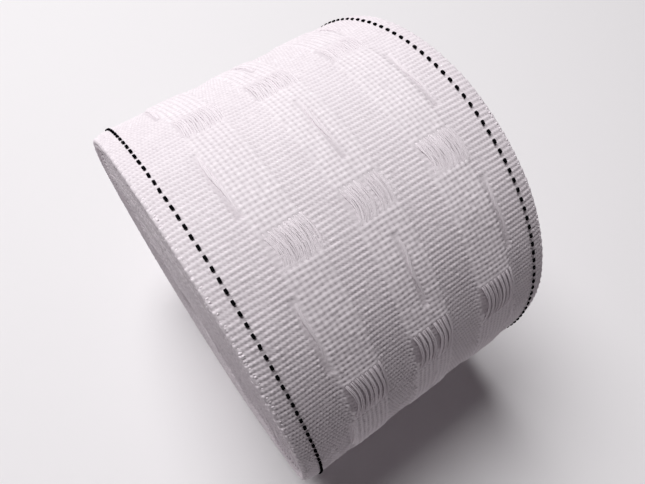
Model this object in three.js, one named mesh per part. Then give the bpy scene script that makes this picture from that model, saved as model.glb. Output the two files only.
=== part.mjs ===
// A roll of curtain heading tape, lying on its side and wound without a core.
// X runs along the axis of the roll, Z is up, and the origin is on the flat spot, under the middle of the roll.
import * as THREE from 'three';

// Driving sizes, in millimetres
const TAPE_WIDTH = 75;
const ROLL_RADIUS = 52.4;
const TURN_THICKNESS = 0.95;
const FLAT_SPOT_DEPTH = 1;
const PICK = 1.22;
const CUT_EDGE_SLOPE = 0.5;

// Raised parts of the weave, in millimetres
const POCKET_HEIGHT = 1.1;
const POCKET_SHOULDER = 0.6;
const CORD_HEIGHT = 0.8;
const CORD_HALF_WIDTH = 0.75;
const COLUMN_SWELL = 0.4;
const SELVEDGE_MARGIN = 4.2;
const SELVEDGE_DROP = 0.7;

// Where things lie round the roll, in degrees from +Y toward +Z
const CUT_END_ANGLE = 318;
const FIRST_POCKET_ANGLE = 109.1;

// Columns of pockets across the tape, and the draw cord of each, in millimetres from the middle
const COLUMNS = [
  { from: -22.7, to: -12.8, cord: -23.9 },
  { from: -4.9, to: 7.0, cord: 1.3 },
  { from: 15.5, to: 25.2, cord: 26.5 },
];

// One repeat of the weave along the tape: height of the pocket yarns and of the draw cords at each pick
const REPEAT_PICKS = 30;
const REPEAT = [
  { pick: 0, pocket: 0, cord: 0 },
  { pick: 0.8, pocket: 0.75, cord: 0 },
  { pick: 3.5, pocket: 1, cord: 0 },
  { pick: 6.2, pocket: 0.75, cord: 0 },
  { pick: 7, pocket: 0, cord: 0 },
  { pick: 9, pocket: 0, cord: 0 },
  { pick: 11, pocket: 0, cord: 0 },
  { pick: 11.8, pocket: 0, cord: 0.8 },
  { pick: 18.5, pocket: 0, cord: 1 },
  { pick: 25.2, pocket: 0, cord: 0.8 },
  { pick: 26, pocket: 0, cord: 0 },
  { pick: 28, pocket: 0, cord: 0 },
];

// Bands of turns on the end faces, from the rim inward: share of the radius, and how far each end stands out
const END_BANDS = [
  { share: 0.978, left: 0.3, right: 0.2 },
  { share: 0.958, left: -0.7, right: -0.5 },
  { share: 0.93, left: 0.2, right: 0.3 },
  { share: 0.8, left: 0.8, right: 0.1 },
  { share: 0.64, left: 0.4, right: 0.8 },
  { share: 0.48, left: 0.8, right: 0.3 },
  { share: 0.32, left: 0.5, right: 0.7 },
  { share: 0.17, left: 0.6, right: 0.2 },
  { share: 0.06, left: -0.9, right: -1.1 },
];
const EYE_DEPTH = 1.6;
const BAND_WAVE = 0.18;

const FULL_TURN = 2 * Math.PI;
const PICK_ANGLE = PICK / ROLL_RADIUS;
const AXIS_HEIGHT = ROLL_RADIUS - FLAT_SPOT_DEPTH;
const CUT_END = THREE.MathUtils.degToRad(CUT_END_ANGLE);
const FIRST_POCKET = THREE.MathUtils.degToRad(FIRST_POCKET_ANGLE) + FULL_TURN - CUT_END;

// Steps along the outer turn, measured from the cut end, with the weave's heights at each
function stepsAlongTurn() {
  const lastTurnAngle = FULL_TURN - CUT_EDGE_SLOPE / ROLL_RADIUS;
  const repeatAngle = REPEAT_PICKS * PICK_ANGLE;
  const clearOfEnds = PICK_ANGLE / 2;
  const firstRepeat = -Math.ceil(FIRST_POCKET / repeatAngle);
  const lastRepeat = Math.ceil((FULL_TURN - FIRST_POCKET) / repeatAngle);
  const steps = [{ turned: 0, pocket: 0, cord: 0 }];
  for (let repeat = firstRepeat; repeat <= lastRepeat; repeat += 1) {
    for (const { pick, pocket, cord } of REPEAT) {
      const turned = FIRST_POCKET + repeat * repeatAngle + pick * PICK_ANGLE;
      if (turned > clearOfEnds && turned < lastTurnAngle - clearOfEnds) {
        steps.push({ turned, pocket, cord });
      }
    }
  }
  steps.push({ turned: lastTurnAngle, pocket: 0, cord: 0 });
  return steps;
}

// Lines across the tape, from the left selvedge to the right one, with the weave's shares of height at each
function linesAcrossTape() {
  const half = TAPE_WIDTH / 2;
  const lines = [];
  for (const side of [-1, 1]) {
    lines.push({ x: side * half, crown: -SELVEDGE_DROP, pocket: 0, cord: 0 });
    lines.push({ x: side * (half - SELVEDGE_MARGIN / 3), crown: -SELVEDGE_DROP / 3, pocket: 0, cord: 0 });
    lines.push({ x: side * (half - SELVEDGE_MARGIN), crown: 0, pocket: 0, cord: 0 });
  }
  for (const { from, to, cord } of COLUMNS) {
    const cordInPocket = cord > from && cord < to;
    for (const x of [from, to]) {
      lines.push({ x, crown: COLUMN_SWELL / 2, pocket: 0, cord: 0 });
    }
    for (const x of [from + POCKET_SHOULDER, to - POCKET_SHOULDER]) {
      lines.push({ x, crown: COLUMN_SWELL, pocket: 0.85, cord: 0 });
    }
    for (const offset of [-CORD_HALF_WIDTH, 0, CORD_HALF_WIDTH]) {
      const split = offset === 0 ? 0.35 : 1;
      lines.push({
        x: cord + offset,
        crown: cordInPocket ? COLUMN_SWELL : 0,
        pocket: cordInPocket ? split : 0,
        cord: offset === 0 ? 1 : 0,
      });
    }
    if (!cordInPocket) {
      lines.push({ x: (from + to) / 2, crown: COLUMN_SWELL, pocket: 1, cord: 0 });
    }
  }
  return lines.sort((a, b) => a.x - b.x);
}

// Radius of the outer turn, which drops by one thickness of tape from its cut end round to the turn beneath
function turnRadius(turned) {
  return ROLL_RADIUS - TURN_THICKNESS * turned / FULL_TURN;
}

// A point at a distance from the axis, kept on or above the flat spot
function pointOnRoll(x, turned, radius) {
  const angle = CUT_END + turned;
  const z = AXIS_HEIGHT + radius * Math.sin(angle);
  return [x, radius * Math.cos(angle), Math.max(z, 0)];
}

function clothPoint(line, step) {
  const raised = line.crown + POCKET_HEIGHT * line.pocket * step.pocket + CORD_HEIGHT * line.cord * step.cord;
  return pointOnRoll(line.x, step.turned, turnRadius(step.turned) + raised);
}

// A point of a band of turns on an end face, where the turns stand out by slightly uneven amounts
function endPoint(side, band, step) {
  const standsOut = side < 0 ? band.left : band.right;
  const wave = BAND_WAVE * Math.sin(2 * step.turned + side * FULL_TURN * band.share);
  const x = side * (TAPE_WIDTH / 2 + standsOut + wave * (1 - band.share));
  return pointOnRoll(x, step.turned, turnRadius(step.turned) * band.share);
}

// The roll is one closed skin: the eye of the left end, its bands, the cloth, and the same on the right
function tapeRollGeometry() {
  const steps = stepsAlongTurn();
  const lines = linesAcrossTape();
  const rings = [];
  for (const band of [...END_BANDS].reverse()) {
    rings.push(steps.map((step) => endPoint(-1, band, step)));
  }
  for (const line of lines) {
    rings.push(steps.map((step) => clothPoint(line, step)));
  }
  for (const band of END_BANDS) {
    rings.push(steps.map((step) => endPoint(1, band, step)));
  }

  const eyeX = TAPE_WIDTH / 2 - EYE_DEPTH;
  const positions = [...rings.flat(2), -eyeX, 0, AXIS_HEIGHT, eyeX, 0, AXIS_HEIGHT];
  const count = steps.length;
  const leftEye = rings.length * count;
  const rightEye = leftEye + 1;
  const lastRing = (rings.length - 1) * count;
  const faces = [];
  for (let i = 0; i < count; i += 1) {
    const next = (i + 1) % count;
    faces.push(leftEye, next, i);
    faces.push(rightEye, lastRing + i, lastRing + next);
    for (let ring = 0; ring < rings.length - 1; ring += 1) {
      const here = ring * count;
      const beyond = here + count;
      faces.push(here + i, here + next, beyond + next);
      faces.push(here + i, beyond + next, beyond + i);
    }
  }

  const geometry = new THREE.BufferGeometry();
  geometry.setAttribute('position', new THREE.Float32BufferAttribute(positions, 3));
  geometry.setIndex(faces);
  geometry.computeVertexNormals();
  return geometry;
}

// White woven tape
const whiteTape = new THREE.MeshStandardMaterial({ color: 0xefebee, roughness: 0.9, metalness: 0 });

const tapeRoll = new THREE.Mesh(tapeRollGeometry(), whiteTape);
tapeRoll.name = 'tape_roll';

const group = new THREE.Group();
group.add(tapeRoll);
export default group;
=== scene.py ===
import math

import bpy
import numpy as np
from mathutils import Matrix, Vector


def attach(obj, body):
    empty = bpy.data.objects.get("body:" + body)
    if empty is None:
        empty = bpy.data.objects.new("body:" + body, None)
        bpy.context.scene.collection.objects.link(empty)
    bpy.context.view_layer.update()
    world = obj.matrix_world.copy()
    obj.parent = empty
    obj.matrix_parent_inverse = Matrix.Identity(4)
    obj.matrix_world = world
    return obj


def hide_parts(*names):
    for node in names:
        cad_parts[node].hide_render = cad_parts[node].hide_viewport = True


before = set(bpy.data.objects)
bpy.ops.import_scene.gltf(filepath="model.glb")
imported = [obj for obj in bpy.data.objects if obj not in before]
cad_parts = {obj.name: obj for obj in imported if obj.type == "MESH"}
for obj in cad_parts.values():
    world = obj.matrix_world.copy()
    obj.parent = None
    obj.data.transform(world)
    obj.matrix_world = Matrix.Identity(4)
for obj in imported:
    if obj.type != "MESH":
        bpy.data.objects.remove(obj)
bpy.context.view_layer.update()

MM = 0.001
FULL_TURN = 2 * math.pi
NODE = "tape_roll"
BODY = "root"

# Roll: the sizes that its solid was made from, in millimetres
TAPE_WIDTH = 75.0
HALF_WIDTH = TAPE_WIDTH / 2
ROLL_RADIUS = 52.4
TURN_THICKNESS = 0.95
FLAT_SPOT_DEPTH = 1.0
AXIS_HEIGHT = ROLL_RADIUS - FLAT_SPOT_DEPTH
CUT_EDGE_SLOPE = 0.5
COLUMN_SWELL = 0.4
SELVEDGE_MARGIN = 4.2
SELVEDGE_DROP = 0.7

# How softly a column's swell ends at its sides, in millimetres, and how fast a selvedge drops to its edge
COLUMN_SIDE_BLEND = 0.5
SELVEDGE_CURVE = 2.5

# Places round the roll in radians: the tape's cut end, from +Y toward +Z, and the angles turned from there to
# the start of a row of pockets and to the last of the outer turn
CUT_END = math.radians(318)
FIRST_POCKET = math.radians(109.1) + FULL_TURN - CUT_END
LAST_ANGLE = FULL_TURN - CUT_EDGE_SLOPE / ROLL_RADIUS

# Weave: the spacing of picks and warp yarns and the place of the marker yarns in millimetres, the number of
# warp yarns from one thick yarn of a column to the next, and the lengths of what repeats in picks
PICK = 1.22
WARP = 0.4125
MARKER_X = 33.3
THICK_YARN_WARPS = 3
REPEAT_PICKS = 30
POCKET_PICKS = 7
CORD_START, CORD_END = 11, 26
PICK_ANGLE = PICK / ROLL_RADIUS
FIRST_PICK = math.ceil(-FIRST_POCKET / PICK_ANGLE)
LAST_PICK = math.floor((LAST_ANGLE - FIRST_POCKET) / PICK_ANGLE)

# Columns of pockets: warp number of each thick yarn, of the draw cord, and of the pocket's two sides
COLUMNS = [
    {"name": "left", "yarns": range(-54, -32, THICK_YARN_WARPS), "cord": -58, "sides": (-56, -32)},
    {"name": "middle", "yarns": [-10, -7, -4, -1, 4, 7, 10, 13], "cord": 3, "sides": (-12, 15)},
    {"name": "right", "yarns": range(39, 61, THICK_YARN_WARPS), "cord": 64, "sides": (37, 62)},
]

# How the slack yarns of the rows of pockets lie. Row -1 is the upper one, 0 the middle one, 1 the lower one.
# strands, radius: strands to a yarn, and their radius
# push, swing, peak: how far a yarn is pushed and swings across, and where along it the swing is widest
# rise, uneven, reach: how far it stands up, how much it ripples, and how many picks it hangs past the pocket
# light, streaks: how light its strands are, mixed toward the painted shade colour, and how much that differs
# at random
# bed, edge, swell: how light the cloth below and its first edge are in painted shade, and how far the cloth
# swells there
ROW_STYLES = {
    -1: {
        "strands": 3, "radius": 0.29, "push": 0.0, "swing": 0.9, "peak": 0.35, "rise": -0.1, "uneven": 0.02,
        "reach": 0.0, "light": 0.56, "streaks": 0.04, "bed": 0.45, "edge": 0.5, "swell": 0.0,
    },
    0: {
        "strands": 6, "radius": 0.12, "push": 0.3, "swing": 1.2, "peak": 0.6, "rise": 0.04, "uneven": 0.04,
        "reach": 0.0, "light": 0.76, "streaks": 0.12, "bed": 0.45, "edge": 0.65, "swell": 0.1,
    },
    1: {
        "strands": 3, "radius": 0.14, "push": 0.0, "swing": 1.2, "peak": 0.5, "rise": 0.4, "uneven": 0.1,
        "reach": 2.5, "light": 0.5, "streaks": 0.12, "bed": 0.05, "edge": 0.05, "swell": 0.7,
    },
}
ROW_SWELL_PICKS = 5

rng = np.random.default_rng(421)


# Shape of the roll

def turn_radius(turned):
    """Radius of the outer turn, which drops by one thickness from its cut end round to the turn beneath."""
    return ROLL_RADIUS - TURN_THICKNESS * turned / FULL_TURN


def row_style(repeat):
    """The style of a row of pockets. The rows out of sight are like the flat upper one."""
    return ROW_STYLES.get(repeat, ROW_STYLES[-1])


def crown(x, picks):
    """How far the cloth stands above the plain radius: over the pockets, and lower at the selvedges."""
    from_row = picks - POCKET_PICKS / 2
    repeats = np.round(from_row / REPEAT_PICKS).astype(int)
    row_swells = np.array([row_style(repeat)["swell"] for repeat in repeats.flat]).reshape(repeats.shape)
    near_row = np.exp(-((from_row - repeats * REPEAT_PICKS) / ROW_SWELL_PICKS) ** 2)
    swell = COLUMN_SWELL + row_swells * near_row
    height = np.zeros_like(x)
    for column in COLUMNS:
        low, high = (side * WARP for side in column["sides"])
        above_low = 1 / (1 + np.exp(-(x - low) / COLUMN_SIDE_BLEND))
        inside = above_low / (1 + np.exp((x - high) / COLUMN_SIDE_BLEND))
        height = height + swell * inside
    margin = np.clip((np.abs(x) - HALF_WIDTH + SELVEDGE_MARGIN) / SELVEDGE_MARGIN, 0, 1)
    return height - SELVEDGE_DROP * margin ** SELVEDGE_CURVE


def on_roll(x, turned, radius):
    """Points at a distance from the axis, kept on or above the flat spot."""
    angle = CUT_END + turned
    z = np.maximum(AXIS_HEIGHT + radius * np.sin(angle), 0)
    return np.stack(np.broadcast_arrays(x, radius * np.cos(angle), z), axis=-1)


def surface_path(picks, x, lift):
    """Points over the cloth at given picks, places across it and heights above it."""
    turned = FIRST_POCKET + picks * PICK_ANGLE
    x = np.broadcast_to(x, turned.shape)
    return on_roll(x, turned, turn_radius(turned) + crown(x, picks) + lift)


def outward(points):
    """Unit vectors from the roll's axis to the points."""
    away = points - np.array([0, 0, AXIS_HEIGHT])
    away[:, 0] = 0
    return away / np.linalg.norm(away, axis=1, keepdims=True)


# Uneven values

def soft_steps(count, cells):
    """The cell that each of evenly spread points lies in, and its eased share of the way across that cell."""
    at = np.linspace(0, cells, count)
    cell = np.minimum(at.astype(int), cells - 1)
    share = at - cell
    return cell, share * share * (3 - 2 * share)


def smooth_noise(shape, cells, amount):
    """Soft uneven values over a grid, interpolated from a coarse grid of random ones."""
    coarse = rng.normal(0, amount, (cells[0] + 1, cells[1] + 1))
    row, down = soft_steps(shape[0], cells[0])
    column, across = soft_steps(shape[1], cells[1])
    down = down[:, None]
    near = coarse[np.ix_(row, column)] * (1 - across) + coarse[np.ix_(row, column + 1)] * across
    far = coarse[np.ix_(row + 1, column)] * (1 - across) + coarse[np.ix_(row + 1, column + 1)] * across
    return near * (1 - down) + far * down


def smooth_line(count, knots, amount):
    """Soft uneven values along a line, interpolated from fewer random ones."""
    return np.interp(np.arange(count), np.linspace(0, count - 1, knots), rng.normal(0, amount, knots))


def random_wave(t, fewest, most):
    """A sine along t with a random number of waves and a random start."""
    return np.sin(FULL_TURN * (rng.uniform(fewest, most) * t + rng.uniform(0, 1)))


# Meshes

def add_mesh(name, points, faces, material, lightness):
    """A smooth mesh from points in millimetres, riding on the roll and standing for its solid."""
    mesh = bpy.data.meshes.new(name)
    mesh.from_pydata((points.reshape(-1, 3) * MM).tolist(), [], faces)
    mesh.polygons.foreach_set("use_smooth", [True] * len(mesh.polygons))
    mesh.materials.append(material)
    # Each point's lightness, which paints light and shade
    layer = mesh.attributes.new("lightness", "FLOAT", "POINT")
    layer.data.foreach_set("value", lightness.astype(np.float32).ravel())
    mesh.update()
    piece = bpy.data.objects.new(name, mesh)
    bpy.context.scene.collection.objects.link(piece)
    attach(piece, BODY)
    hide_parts(NODE)


def grid_faces(rows, columns, start=0, closed=False):
    """Quads of a grid of points numbered row by row, whose last column may meet its first."""
    r = np.arange(rows - 1)[:, None] * columns
    c = np.arange(columns if closed else columns - 1)[None, :]
    n = (c + 1) % columns
    quads = np.stack([r + c, r + n, r + columns + n, r + columns + c], axis=-1)
    return (quads.reshape(-1, 4) + start).tolist()


# Painted light and shade on a strand: how much lighter than its middle it is on top, and how much darker
# below
TOP_LIGHT = 0.15


class Strands:
    """Collects many tubes into one mesh."""

    def __init__(self):
        self.points = []
        self.faces = []
        self.lightness = []
        self.count = 0

    def add(self, path, radius, sides, flatten, light, corner=1.0):
        """A tube round a path with closed ends. A corner under 1 squares its section."""
        along = np.gradient(path, axis=0)
        along /= np.linalg.norm(along, axis=1, keepdims=True)
        across = np.cross(along, outward(path))
        across /= np.linalg.norm(across, axis=1, keepdims=True)
        up = np.cross(across, along)
        turn = (np.arange(sides) + 0.5) * FULL_TURN / sides
        wide = np.sign(np.cos(turn)) * np.abs(np.cos(turn)) ** corner
        high = np.sign(np.sin(turn)) * np.abs(np.sin(turn)) ** corner
        radius = np.broadcast_to(radius, len(path))[:, None, None]
        section = wide[None, :, None] * across[:, None] + flatten * high[None, :, None] * up[:, None]
        rings = path[:, None] + radius * section
        rings[..., 2] = np.maximum(rings[..., 2], 0)
        self.points.append(rings.reshape(-1, 3))
        self.faces += grid_faces(len(path), sides, self.count, closed=True)
        first = list(range(self.count, self.count + sides))
        last = [self.count + (len(path) - 1) * sides + i for i in range(sides)]
        self.faces += [first[::-1], last]
        # Painted light on top of the tube and painted shade beneath it
        self.lightness.append(np.tile(np.clip(light + TOP_LIGHT * high, 0, 1), len(path)))
        self.count += len(path) * sides

    def build(self, name, material):
        """Makes one mesh of all the tubes."""
        points = np.concatenate(self.points)
        add_mesh(name, points, self.faces, material, np.concatenate(self.lightness))


def tapered(t, tip, curve):
    """The share of its full thickness that a yarn has along t, thinner toward both ends."""
    return np.sin(math.pi * (tip + (1 - 2 * tip) * t)) ** curve


# Materials

# Soft patches of colour: their noise, per metre, and the part of it over which one colour fades to the other
PATCHES = {"Scale": 55.0, "Detail": 4.0, "Roughness": 0.6}
PATCH_FADE = (0.35, 0.65)

# The grain of the fibres, whose noise per metre and depth in metres each yarn states
FIBRES = {"Detail": 3.0, "Roughness": 0.7}
FIBRE_STRENGTH = 0.6

# Colours of soft patches and of painted shade, and the kinds of yarn: how rough and glossy each is, and its
# fibres
WHITES = {"light": (0.94, 0.875, 0.915, 1), "dark": (0.9, 0.835, 0.875, 1), "painted_shade_colour": (0.5, 0.445, 0.48, 1)}
BLACKS = {
    "light": (0.005, 0.005, 0.006, 1), "dark": (0.002, 0.002, 0.003, 1), "painted_shade_colour": (0.002, 0.002, 0.003, 1),
}
YARNS = {
    "woven_ground": dict(WHITES, roughness=0.85, specular=0.15, fibre_scale=3500.0, fibre_depth=0.00008),
    "pocket_yarn": dict(WHITES, roughness=0.8, specular=0.15, fibre_scale=5000.0, fibre_depth=0.00006),
    "draw_cord": dict(WHITES, roughness=0.8, specular=0.15, fibre_scale=4500.0, fibre_depth=0.00005),
    "turn_edges": dict(WHITES, roughness=0.9, specular=0.1, fibre_scale=3000.0, fibre_depth=0.0001),
    "marker_yarn": dict(BLACKS, roughness=1.0, specular=0.0, fibre_scale=5000.0, fibre_depth=0.00006),
}


def node(tree, kind, **values):
    """A shader node of a kind, with values for its inputs by their names, or else for its own settings."""
    made = tree.nodes.new(kind)
    for key, value in values.items():
        if key in made.inputs:
            made.inputs[key].default_value = value
        else:
            setattr(made, key, value)
    return made


def yarn_material(name, light, dark, painted_shade_colour, roughness, specular, fibre_scale, fibre_depth):
    """Cloth of fine fibres: painted shade from each point's lightness, soft patches of colour and a fine
    bump.
    """
    material = bpy.data.materials.new(name)
    material.use_nodes = True
    tree = material.node_tree
    shader = tree.nodes["Principled BSDF"]
    shader.inputs["Roughness"].default_value = roughness
    shader.inputs["Specular IOR Level"].default_value = specular
    place = node(tree, "ShaderNodeTexCoord")
    patches = node(tree, "ShaderNodeTexNoise", **PATCHES)
    ramp = node(tree, "ShaderNodeValToRGB")
    for element, position, colour in zip(ramp.color_ramp.elements, PATCH_FADE, (dark, light)):
        element.position = position
        element.color = colour
    # Painted light and shade: each point's lightness mixes the painted shade colour into the cloth's own
    height = node(tree, "ShaderNodeAttribute", attribute_name="lightness")
    shade = node(tree, "ShaderNodeMix", data_type="RGBA")
    shade.inputs["A"].default_value = painted_shade_colour
    fibres = node(tree, "ShaderNodeTexNoise", Scale=fibre_scale, **FIBRES)
    bump = node(tree, "ShaderNodeBump", Strength=FIBRE_STRENGTH, Distance=fibre_depth)
    tree.links.new(place.outputs["Object"], patches.inputs["Vector"])
    tree.links.new(place.outputs["Object"], fibres.inputs["Vector"])
    tree.links.new(patches.outputs["Fac"], ramp.inputs["Fac"])
    tree.links.new(height.outputs["Fac"], shade.inputs["Factor"])
    tree.links.new(ramp.outputs["Color"], shade.inputs["B"])
    tree.links.new(shade.outputs["Result"], shader.inputs["Base Color"])
    tree.links.new(fibres.outputs["Fac"], bump.inputs["Height"])
    tree.links.new(bump.outputs["Normal"], shader.inputs["Normal"])
    return material


MATERIALS = {name: yarn_material(name, **look) for name, look in YARNS.items()}


# Woven ground

# Heights of the relief in millimetres and its lightness (painted shade, darkest in the holes): where a warp
# yarn lies over a pick and where it lies under it, at a hole in the valley between two picks and beside the
# hole
PLAIN_WEAVE = {
    "height": {"over": 0.25, "under": -0.02, "hole": -0.17, "bridge": 0.08},
    "light": {"over": 1.1, "under": 0.54, "hole": 0.14, "bridge": 0.75},
}
COLUMN_WEAVE = {
    "height": {"over": 0.19, "under": 0.12, "hole": -0.14, "bridge": 0.1},
    "light": {"over": 0.88, "under": 0.72, "hole": 0.22, "bridge": 0.72},
}

# How narrow the ridge over each pick is
PICK_CURVE = 1.2

# How much the beads differ in height, and the share of that in their painted light: higher beads are painted
# lighter
BEAD_SPREAD = 0.25
BEAD_LIGHT = 0.3

# The flat bed of a pocket, painted in shade: its depth in millimetres, how softly its ends rise, the shares
# that are left of the weave's height and lightness, and the number of warps in its first edge, whose painted
# shade its row sets
BED = {"depth": 0.12, "curve": 0.5, "height": 0.6, "light": 0.3, "edge_warps": 3}

# The furrow that a draw cord lies in, painted in shadow: its warps beside the cord's own, the shares that are
# left of the weave's height and lightness, its depth in millimetres and its added lightness, and how these
# change along
# and across it: the painted shadow is darkest left of the cord and darkens along it
FURROW = {
    "warps": (-1, 2), "height": 0.3, "light": 0.3, "depth": 0.1, "deeper_along": 0.15,
    "added_light": 0.38, "lighter_across": 0.1, "darker_along": 0.22,
}

# The hole where a draw cord goes back into the cloth, in painted shade: warps either side, height and
# lightness
CORD_HOLE = {"warps": 1, "height": -0.12, "light": 0.3}

# Mesh of the cloth: rows to a pick, sectors round the roll, and how far inside the edge its last warp stays
ROWS_TO_PICK = 4
SECTORS = 3
LAST_WARP_INSET = 0.35

# Unevenness of the cloth: cells round and across the roll, and amount in millimetres
NOISE = {"across": ((60, 30), 0.05), "along": ((80, 14), 0.09), "height": ((40, 12), 0.06)}

# How the outer turn's cloth bends over past its last warp yarn, in millimetres: how far out and how far down.
# BEND_SHADE is its painted shade: how much darker it is for each millimetre down.
SELVEDGE_BEND = np.array([(0.2, 0.08), (0.34, 0.32), (0.4, 0.7), (0.36, 1.2)])
BEND_SHADE = 0.2

# The cut edge: how far its foot is sunk into the turn beneath, and how light the painted shade at its foot is
CUT_EDGE_FOOT = 0.25
CUT_EDGE_LIGHT = 0.3


def weave(picks, warp, value):
    """Height or lightness of the weave: plain, and with square holes between a column's thick yarns."""
    plain, thick = PLAIN_WEAVE[value], COLUMN_WEAVE[value]
    pick = np.floor(picks).astype(int)
    over = (pick[:, None] + warp) % 2 == 0
    on_pick = np.where(over, plain["over"], plain["under"])
    between = np.where(over, plain["hole"], plain["bridge"])
    for column in COLUMNS:
        low, high = column["sides"]
        inside = (warp > low) & (warp < high)
        gap = (warp - column["yarns"][0]) % THICK_YARN_WARPS == 1
        on_pick = np.where(inside, np.where(gap, thick["under"], thick["over"]), on_pick)
        between = np.where(inside, np.where(gap, thick["hole"], thick["bridge"]), between)
    share = np.sin(math.pi * (picks - pick))[:, None] ** PICK_CURVE
    return on_pick * share + between * (1 - share)


def lay_pocket_beds(height, light, picks, warp):
    """Flattens the weave under the slack yarns of the pockets and paints shade on it."""
    styles = [row_style(repeat) for repeat in np.floor(picks).astype(int) // REPEAT_PICKS]
    bed_painted_shade = np.array([style["bed"] for style in styles])[:, None]
    edge_painted_shade = np.array([style["edge"] for style in styles])[:, None]
    in_repeat = (picks % REPEAT_PICKS)[:, None]
    in_pocket = (in_repeat > 0) & (in_repeat < POCKET_PICKS)
    depth = BED["depth"] * np.sin(math.pi * np.clip(in_repeat / POCKET_PICKS, 0, 1)) ** BED["curve"]
    for column in COLUMNS:
        low, high = column["sides"]
        bed = in_pocket & (warp > low) & (warp < high)
        height = np.where(bed, BED["height"] * height - depth, height)
        light = np.where(bed, BED["light"] * light + bed_painted_shade, light)
        light = np.where(bed & (warp < low + BED["edge_warps"]), edge_painted_shade, light)
    return height, light


def cut_cord_furrows(height, light, picks, warp):
    """Lowers the weave under the draw cords and paints shadow there, with a hole in painted shade at the end
    of each.
    """
    in_repeat = (picks % REPEAT_PICKS)[:, None]
    along = np.clip((in_repeat - CORD_START) / (CORD_END - CORD_START), 0, 1)
    under_cord = (in_repeat > CORD_START) & (in_repeat < CORD_END)
    at_end = (in_repeat > CORD_END - 1) & (in_repeat < CORD_END)
    first, last = FURROW["warps"]
    for column in COLUMNS:
        beside = warp - column["cord"]
        furrow = under_cord & (beside >= first) & (beside <= last)
        lowered = FURROW["height"] * height - FURROW["depth"] - FURROW["deeper_along"] * along
        height = np.where(furrow, lowered, height)
        lit = FURROW["light"] * light + FURROW["added_light"]
        lit = lit + FURROW["lighter_across"] * np.clip(beside, 0, last) - FURROW["darker_along"] * along
        light = np.where(furrow, lit, light)
        hole = at_end & (np.abs(beside) <= CORD_HOLE["warps"])
        height = np.where(hole, CORD_HOLE["height"], height)
        light = np.where(hole, CORD_HOLE["light"], light)
    return height, light


def weave_relief(picks, warp):
    """Height and painted light and shade of the weave, with uneven beads, the pockets' beds and the cords'
    furrows.
    """
    pick = np.floor(picks).astype(int)
    size = 1 + BEAD_SPREAD * rng.standard_normal((pick.max() - pick.min() + 1, len(warp)))
    size = size[pick - pick.min()]
    height = weave(picks, warp, "height") * size
    light = weave(picks, warp, "light") * (1 - BEAD_LIGHT + BEAD_LIGHT * size)
    height, light = lay_pocket_beds(height, light, picks, warp)
    height, light = cut_cord_furrows(height, light, picks, warp)
    return height, np.clip(light, 0, 1)


def woven_ground():
    """The outer turn's cloth, in sectors that meet in the valleys between picks."""
    picks = np.arange(FIRST_PICK * ROWS_TO_PICK, LAST_PICK * ROWS_TO_PICK + 1) / ROWS_TO_PICK
    last_warp = round((HALF_WIDTH - LAST_WARP_INSET) / WARP)
    warp = np.arange(-last_warp, last_warp + 1)
    height, lightness = weave_relief(picks, warp)
    shape = height.shape
    x = warp * WARP + smooth_noise(shape, *NOISE["across"])
    turned = FIRST_POCKET + picks[:, None] * PICK_ANGLE + smooth_noise(shape, *NOISE["along"]) / ROLL_RADIUS
    turned[0] = 0
    turned[-1] = LAST_ANGLE
    radius = turn_radius(turned) + crown(x, picks[:, None]) + height + smooth_noise(shape, *NOISE["height"])
    out, down = SELVEDGE_BEND.T
    shade = BEND_SHADE * down
    x = np.hstack([x[:, :1] - out[::-1], x, x[:, -1:] + out])
    radius = np.hstack([radius[:, :1] - down[::-1], radius, radius[:, -1:] - down])
    lightness = np.hstack([lightness[:, :1] - shade[::-1], lightness, lightness[:, -1:] - shade])
    turned = np.pad(turned, ((0, 0), (len(out), len(out))), "edge")
    points = on_roll(x, turned, radius)
    whole_picks = LAST_PICK - FIRST_PICK
    for sector in range(SECTORS):
        low = whole_picks * sector // SECTORS * ROWS_TO_PICK
        high = whole_picks * (sector + 1) // SECTORS * ROWS_TO_PICK + 1
        part, light = points[low:high], lightness[low:high]
        if sector == 0:
            foot_radius = radius[0] - TURN_THICKNESS - CUT_EDGE_FOOT
            foot = on_roll(x[0], turned[0] - CUT_EDGE_SLOPE / ROLL_RADIUS, foot_radius)
            part = np.concatenate([foot[None], part])
            light = np.concatenate([np.full_like(light[:1], CUT_EDGE_LIGHT), light])
        faces = grid_faces(part.shape[0], part.shape[1])
        add_mesh(f"woven_ground_{sector + 1}", part, faces, MATERIALS["woven_ground"], light)


def repeats_shown(from_pick, to_pick):
    """Numbers of the repeats whose stretch of picks lies whole on the outer turn."""
    first = FIRST_PICK + 1 - from_pick
    last = LAST_PICK - 1 - to_pick
    return range(math.ceil(first / REPEAT_PICKS), math.floor(last / REPEAT_PICKS) + 1)


# Pocket yarns

# How many picks a yarn starts before its pocket and ends past it
YARN_BEFORE, YARN_PAST = 0.7, 0.8

# A yarn's course: the most that a pocket's yarns lean in millimetres, the share by which each next yarn of a
# pocket swings less, and its ripple's least and most waves
YARN_LEAN = 0.3
YARN_SWING_LOSS = 0.05
RIPPLE_WAVES = (0.6, 1.4)

# Its height in millimetres: how deep its ends are sunk, how far it stands over them, how fast it rises, and
# how much the yarns and their strands differ
YARN_SUNK = 0.4
YARN_STANDS = 0.45
YARN_CURVE = 0.35
YARN_SPREAD = 0.03
STRAND_SPREAD = 0.02

# Its strands: their spacing in radiuses, their own small waves, and their section
STRAND_SPACING = 1.75
STRAND_WOBBLE = 0.06
WOBBLE_WAVES = (0.8, 2.4)
STRAND_STEPS = 17
STRAND_SIDES = 6
STRAND_FLATTEN = 0.9


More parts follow.
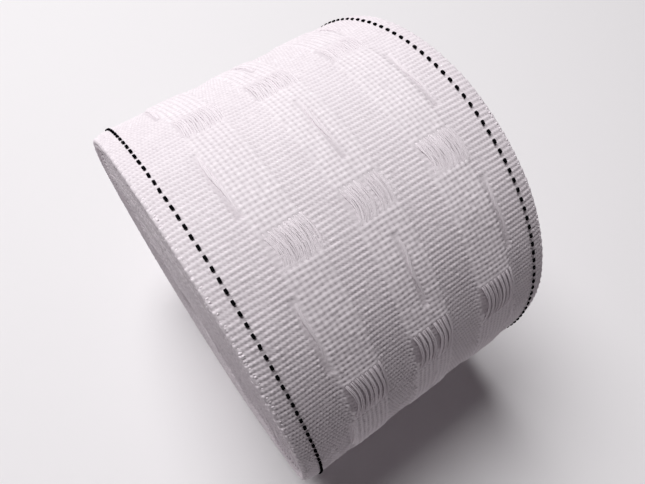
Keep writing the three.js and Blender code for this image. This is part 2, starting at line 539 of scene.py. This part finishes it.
def pocket_yarns(column):
    """Slack yarns over the pockets of one column."""
    strands = Strands()
    t = np.linspace(0, 1, STRAND_STEPS)
    arch = np.sin(math.pi * t)
    for repeat in repeats_shown(0, POCKET_PICKS):
        style = row_style(repeat)
        swing = style["swing"] * np.sin(math.pi * np.interp(t, (0, style["peak"], 1), (0, 0.5, 1)))
        lean = rng.uniform(-YARN_LEAN, YARN_LEAN)
        length = POCKET_PICKS + YARN_BEFORE + YARN_PAST + style["reach"]
        picks = repeat * REPEAT_PICKS - YARN_BEFORE + length * t
        for number, yarn in enumerate(column["yarns"]):
            ripple = style["uneven"] * random_wave(t, *RIPPLE_WAVES)
            sway = style["push"] + swing * (1 - YARN_SWING_LOSS * number) + lean * (t - 0.5) + ripple * arch
            rise = style["rise"] + YARN_SPREAD * rng.standard_normal()
            for strand in range(style["strands"]):
                beside = (strand - (style["strands"] - 1) / 2) * STRAND_SPACING * style["radius"]
                wobble = STRAND_WOBBLE * random_wave(t, *WOBBLE_WAVES)
                stands = YARN_STANDS + rise + STRAND_SPREAD * rng.standard_normal()
                lift = stands * arch ** YARN_CURVE - YARN_SUNK
                path = surface_path(picks, yarn * WARP + sway + beside + wobble, lift)
                light = style["light"] + style["streaks"] * rng.standard_normal()
                strands.add(path, style["radius"], STRAND_SIDES, STRAND_FLATTEN, light)
    strands.build(f"pocket_yarns_{column['name']}", MATERIALS["pocket_yarn"])


# Draw cords

# Plies: their number, how often they twist in one float, their radius, and how far they turn round the middle
CORD_PLIES = 3
CORD_TWISTS = 2
PLY_RADIUS = 0.34
PLY_SIDEWAYS = 0.24
PLY_UPWARD = 0.05

# Thickness: how much is lost along the float, and how thin its tips are and how fast they thicken
CORD_THINS = 0.3
CORD_TIP = 0.03
CORD_TIP_CURVE = 0.4

# Course in millimetres: how many picks its ends stop short, how far it lies beside its warp, how far it sways
# and in how many waves, how deep its ends are sunk, how far it stands over them and how much less at the far
# end, and how fast it rises
CORD_END_INSET = 0.3
CORD_BESIDE = 0.6
CORD_SWAY = 0.35
CORD_WAVES = (0.7, 1.3)
CORD_SUNK = 0.65
CORD_STANDS = 0.62
CORD_SINKS = 0.25
CORD_CURVE = 0.25

# Mesh of the plies, and their lightness, which paints them in shade
CORD_STEPS = 49
CORD_SIDES = 8
CORD_FLATTEN = 0.8
CORD_LIGHT = 0.62


def draw_cords():
    """The plied draw cord of each column, where it floats over the cloth between two rows of pockets."""
    strands = Strands()
    t = np.linspace(0, 1, CORD_STEPS)
    arch = np.sin(math.pi * t)
    lift = (CORD_STANDS - CORD_SINKS * t) * arch ** CORD_CURVE - CORD_SUNK
    girth = (1 - CORD_THINS * t) * tapered(t, CORD_TIP, CORD_TIP_CURVE)
    for repeat in repeats_shown(CORD_START, CORD_END):
        start = repeat * REPEAT_PICKS + CORD_START + CORD_END_INSET
        picks = start + (CORD_END - CORD_START - 2 * CORD_END_INSET) * t
        for column in COLUMNS:
            sway = CORD_SWAY * random_wave(t, *CORD_WAVES) * arch
            first = rng.uniform(0, FULL_TURN)
            for ply in range(CORD_PLIES):
                turn = first + FULL_TURN * (ply / CORD_PLIES + CORD_TWISTS * t)
                x = column["cord"] * WARP + CORD_BESIDE + sway + PLY_SIDEWAYS * girth * np.cos(turn)
                path = surface_path(picks, x, lift + PLY_UPWARD * girth * np.sin(turn))
                strands.add(path, PLY_RADIUS * girth, CORD_SIDES, CORD_FLATTEN, CORD_LIGHT)
    strands.build("draw_cords", MATERIALS["draw_cord"])


# Marker dashes

# Picks from one dash to the next, a dash's length, and its middle on each side, in picks
DASH_REPEAT = 2
DASH_PICKS = 0.86
DASH_MIDDLES = {-1: 0.57, 1: 0.94}

# Share of a dash's radius at shares of its length
DASH_OUTLINE = [(0, 0.75), (0.05, 0.95), (0.15, 1), (0.5, 1), (0.85, 1), (0.95, 0.95), (1, 0.75)]

# In millimetres: a dash's radius, its height at the ends and what its middle adds, and the most that it leans
# or strays
DASH_RADIUS = 0.35
DASH_LIFT = 0.3
DASH_ARCH = 0.1
DASH_LEAN = 0.1
DASH_STRAY = 0.04

# Mesh and lightness: a corner under 1 squares the section
DASH_SIDES = 8
DASH_FLATTEN = 0.6
DASH_CORNER = 0.45
DASH_LIGHT = 0.85


def marker_dashes():
    """Black dashes near both selvedges, one to every two picks."""
    strands = Strands()
    t, girth = np.array(DASH_OUTLINE).T
    lift = DASH_LIFT + DASH_ARCH * np.sin(math.pi * t)
    for start in range(FIRST_PICK + FIRST_PICK % DASH_REPEAT, LAST_PICK - 1, DASH_REPEAT):
        for side, middle in DASH_MIDDLES.items():
            lean = rng.uniform(-DASH_LEAN, DASH_LEAN)
            picks = start + middle + DASH_PICKS * (t - 0.5)
            x = side * MARKER_X + lean * (t - 0.5) + rng.uniform(-DASH_STRAY, DASH_STRAY)
            path = surface_path(picks, x, lift)
            strands.add(path, DASH_RADIUS * girth, DASH_SIDES, DASH_FLATTEN, DASH_LIGHT, DASH_CORNER)
    strands.build("marker_dashes", MATERIALS["marker_yarn"])


# Selvedge loops

# A loop's bend in radians, and how far inside the edge it starts and how far out and down the bend takes it
LOOP_BEND = 1.8
LOOP_INSET = 0.9
LOOP_OUT = 0.8
LOOP_DOWN = 1.1

# Least and most that a loop strays out and up in millimetres, and the most that it strays and leans in picks
LOOP_STRAYS_OUT = (-0.2, 0.1)
LOOP_STRAYS_UP = (-0.17, 0.03)
LOOP_STRAYS = 0.15
LOOP_LEANS = 0.3

# Picks from loop to loop, least and most radius, and how thin the tips are and how fast they thicken
LOOP_SPACING = 0.5
LOOP_RADII = (0.28, 0.42)
LOOP_TIP = 0.12
LOOP_TIP_CURVE = 0.6

# Mesh of the loops, and their lightness, mixed a little toward the painted shade colour
LOOP_STEPS = 6
LOOP_SIDES = 5
LOOP_FLATTEN = 0.8
LOOP_LIGHT = 0.85


def selvedge_loops():
    """The loops that the picks make round the edge of the outer turn, on both sides."""
    strands = Strands()
    t = np.linspace(0, 1, LOOP_STEPS)
    bend = LOOP_BEND * t
    girth = tapered(t, LOOP_TIP, LOOP_TIP_CURVE)
    for pick in np.arange(FIRST_PICK + 1, LAST_PICK - 1, LOOP_SPACING):
        for side in (-1, 1):
            x = side * (HALF_WIDTH - LOOP_INSET + LOOP_OUT * np.sin(bend) + rng.uniform(*LOOP_STRAYS_OUT))
            middle = pick + 0.5 + rng.uniform(-LOOP_STRAYS, LOOP_STRAYS)
            picks = middle + rng.uniform(-LOOP_LEANS, LOOP_LEANS) * (t - 0.5)
            lift = rng.uniform(*LOOP_STRAYS_UP) - LOOP_DOWN * (1 - np.cos(bend))
            path = surface_path(picks, x, lift)
            strands.add(path, rng.uniform(*LOOP_RADII) * girth, LOOP_SIDES, LOOP_FLATTEN, LOOP_LIGHT)
    strands.build("selvedge_loops", MATERIALS["woven_ground"])


# Ends of the roll

EYE_RADIUS = 3.0

# How far the turns' edges stand out past the tape's half width, by their share of the roll's radius
END_BANDS = {
    "left": [
        (1.0, 0.1), (0.978, 0.3), (0.958, -0.2), (0.93, 0.2), (0.8, 0.7),
        (0.64, 0.4), (0.48, 0.8), (0.32, 0.5), (0.17, 0.6), (0.06, -0.9),
    ],
    "right": [
        (1.0, 0.1), (0.978, 0.2), (0.958, -0.3), (0.93, 0.3), (0.8, 0.1),
        (0.64, 0.8), (0.48, 0.3), (0.32, 0.7), (0.17, 0.2), (0.06, -1.1),
    ],
}

# Profile of a turn's edge, from one valley over its crest to the next: share of the turn's thickness, how far
# it stands out in millimetres, and its lightness, painted shade that is darkest in the valleys
VALLEY = -1.0
EDGE_PROFILE = [
    (-0.05, VALLEY, 0.2), (0.12, -0.1, 0.6), (0.45, 0.08, 0.7), (0.78, -0.08, 0.6), (0.98, VALLEY, 0.2),
]

# Loops of the picks round the edges: points to a loop, how far its second point stands out in millimetres and
# how much that differs, how much darker its first point is with painted shade, and how much the points'
# lightness differs
POINTS_TO_LOOP = 2
EDGE_LOOP_RELIEF = 0.12
EDGE_LOOP_SPREAD = 0.04
EDGE_LOOP_SHADE = 0.2
EDGE_LIGHT_SPREAD = 0.08

# How far inside the tape's half width the edges lie and how much the turns differ, in millimetres, and how
# many times their places and the gaps between them change round the spiral
EDGE_INSET = 0.15
TURN_SPREAD = 0.08
TURN_KNOTS = 260
GAP_KNOTS = 400


def end_turns(name, side):
    """The edges of all turns on one end, as one spiral strip whose rounded edge stands out at each pick."""
    all_turned = FULL_TURN * (ROLL_RADIUS - EYE_RADIUS) / TURN_THICKNESS
    turned = [0.0]
    while turned[-1] < all_turned:
        turned.append(turned[-1] + PICK / POINTS_TO_LOOP / max(turn_radius(turned[-1]), EYE_RADIUS))
    turned = np.array(turned)
    count = len(turned)
    on_loop = np.arange(count) % POINTS_TO_LOOP
    radius = turn_radius(turned) - SELVEDGE_DROP
    bands = np.array(END_BANDS[name])[::-1]
    stands_out = np.interp(radius / (ROLL_RADIUS - SELVEDGE_DROP), bands[:, 0], bands[:, 1])
    own = smooth_line(count, TURN_KNOTS, TURN_SPREAD)
    loops = EDGE_LOOP_RELIEF * on_loop + rng.normal(0, EDGE_LOOP_SPREAD, count)
    gap = smooth_line(count, GAP_KNOTS, TURN_SPREAD)
    columns = []
    for across, out, _ in EDGE_PROFILE:
        on_crest = out > VALLEY
        x = side * (HALF_WIDTH - EDGE_INSET + stands_out + own + out + loops * on_crest)
        columns.append(on_roll(x, turned, radius - TURN_THICKNESS * across + gap * on_crest))
    points = np.stack(columns, axis=1)
    faces = grid_faces(count, len(EDGE_PROFILE))
    if side > 0:
        faces = [face[::-1] for face in faces]
    light = np.array(EDGE_PROFILE)[:, 2] - EDGE_LOOP_SHADE * (1 - on_loop)[:, None]
    light = np.clip(light + rng.normal(0, EDGE_LIGHT_SPREAD, (count, 1)), 0, 1)
    add_mesh(f"end_turns_{name}", points, faces, MATERIALS["turn_edges"], light)


woven_ground()
for pocket_column in COLUMNS:
    pocket_yarns(pocket_column)
draw_cords()
marker_dashes()
selvedge_loops()
end_turns("left", -1)
end_turns("right", 1)


# Floor and light, in metres and watts

FLOOR_HALF = 2.0
FLOOR_COLOUR = (0.84, 0.82, 0.835, 1)
FLOOR_ROUGHNESS = 0.9
KEY_DIRECTION = Vector((-0.06, 0.38, 0.91)).normalized()
KEY_DISTANCE, KEY_SIZE, KEY_POWER = 1.0, 0.7, 11.6
KEY_AIM = Vector((0, 0, 0.05))
SKY_COLOUR, SKY_STRENGTH = (1.0, 0.86, 0.95, 1), 0.055


def floor():
    """A plain pale floor under the roll."""
    mesh = bpy.data.meshes.new("floor")
    corners = [(x * FLOOR_HALF, y * FLOOR_HALF, 0) for x, y in ((-1, -1), (1, -1), (1, 1), (-1, 1))]
    mesh.from_pydata(corners, [], [(0, 1, 2, 3)])
    plane = bpy.data.objects.new("floor", mesh)
    bpy.context.scene.collection.objects.link(plane)
    material = bpy.data.materials.new("pale_floor")
    material.use_nodes = True
    shader = material.node_tree.nodes["Principled BSDF"]
    shader.inputs["Base Color"].default_value = FLOOR_COLOUR
    shader.inputs["Roughness"].default_value = FLOOR_ROUGHNESS
    mesh.materials.append(material)


def studio():
    """A faint even sky and one soft round lamp, high up beyond the roll."""
    scene = bpy.context.scene
    scene.view_settings.view_transform = "Standard"
    world = bpy.data.worlds.new("studio")
    world.use_nodes = True
    background = world.node_tree.nodes["Background"]
    background.inputs["Color"].default_value = SKY_COLOUR
    background.inputs["Strength"].default_value = SKY_STRENGTH
    scene.world = world
    data = bpy.data.lights.new("key", "AREA")
    data.shape = "DISK"
    data.size = KEY_SIZE
    data.energy = KEY_POWER
    light = bpy.data.objects.new("key", data)
    light.location = KEY_AIM + KEY_DISTANCE * KEY_DIRECTION
    light.rotation_euler = (-KEY_DIRECTION).to_track_quat("-Z", "Y").to_euler()
    scene.collection.objects.link(light)


# Camera at the photograph's angle, found from the dashed lines: the frame and the focal length in pixels, the
# sensor and the camera's place in millimetres, and its right and up in the roll's frame
FRAME_WIDTH = 645
FOCAL_PIXELS = 550.0
SENSOR_WIDTH = 36
NEAREST_SHOWN = 10
CAMERA_PLACE = Vector((-44.1, -67.5, 190.7))
CAMERA_RIGHT = Vector((0.8108, -0.5853, 0.0))
CAMERA_UP = Vector((0.506, 0.7007, 0.5029))


def camera():
    """The camera that looks at the roll as the photograph does."""
    data = bpy.data.cameras.new("camera")
    data.sensor_fit = "HORIZONTAL"
    data.sensor_width = SENSOR_WIDTH
    data.lens = FOCAL_PIXELS / FRAME_WIDTH * SENSOR_WIDTH
    data.clip_start = NEAREST_SHOWN * MM
    data.dof.use_dof = False
    made = bpy.data.objects.new("camera", data)
    right = CAMERA_RIGHT.normalized()
    back = right.cross(CAMERA_UP).normalized()
    turn = Matrix((right, back.cross(right), back)).transposed()
    made.matrix_world = Matrix.Translation(CAMERA_PLACE * MM) @ turn.to_4x4()
    bpy.context.scene.collection.objects.link(made)
    bpy.context.scene.camera = made


floor()
studio()
camera()
